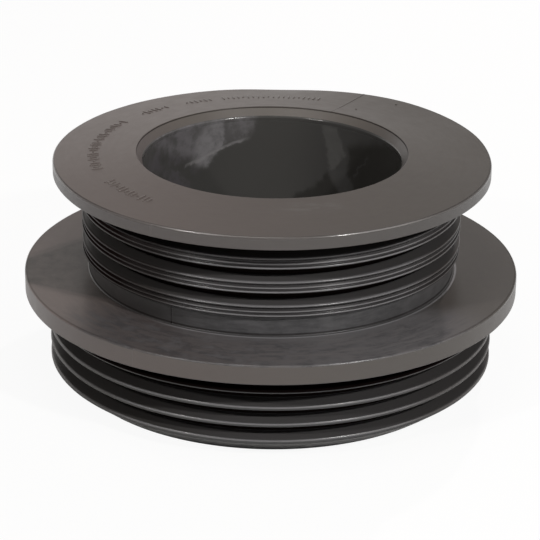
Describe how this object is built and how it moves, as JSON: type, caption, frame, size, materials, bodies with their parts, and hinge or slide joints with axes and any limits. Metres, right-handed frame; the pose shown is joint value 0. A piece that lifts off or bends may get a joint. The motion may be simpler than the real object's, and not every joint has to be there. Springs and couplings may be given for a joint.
{
  "type": "rubber pipe adapter",
  "caption": "Stepped rubber pipe adapter: a stretch-fit bore takes a plastic pipe, and flanged, finned tiers outside seal in a wider drain pipe.",
  "frame": {"origin": "centre of the ring that the adapter stands on, in the floor plane", "axes": "+Z along the bore, up towards the mouth that the pipe goes into"},
  "size_m": [0.2052, 0.2052, 0.095],
  "materials": {
    "rubber": "satin"
  },
  "bodies": {
    "root": {"adapter_body": "rubber"}
  },
  "joints": []
}
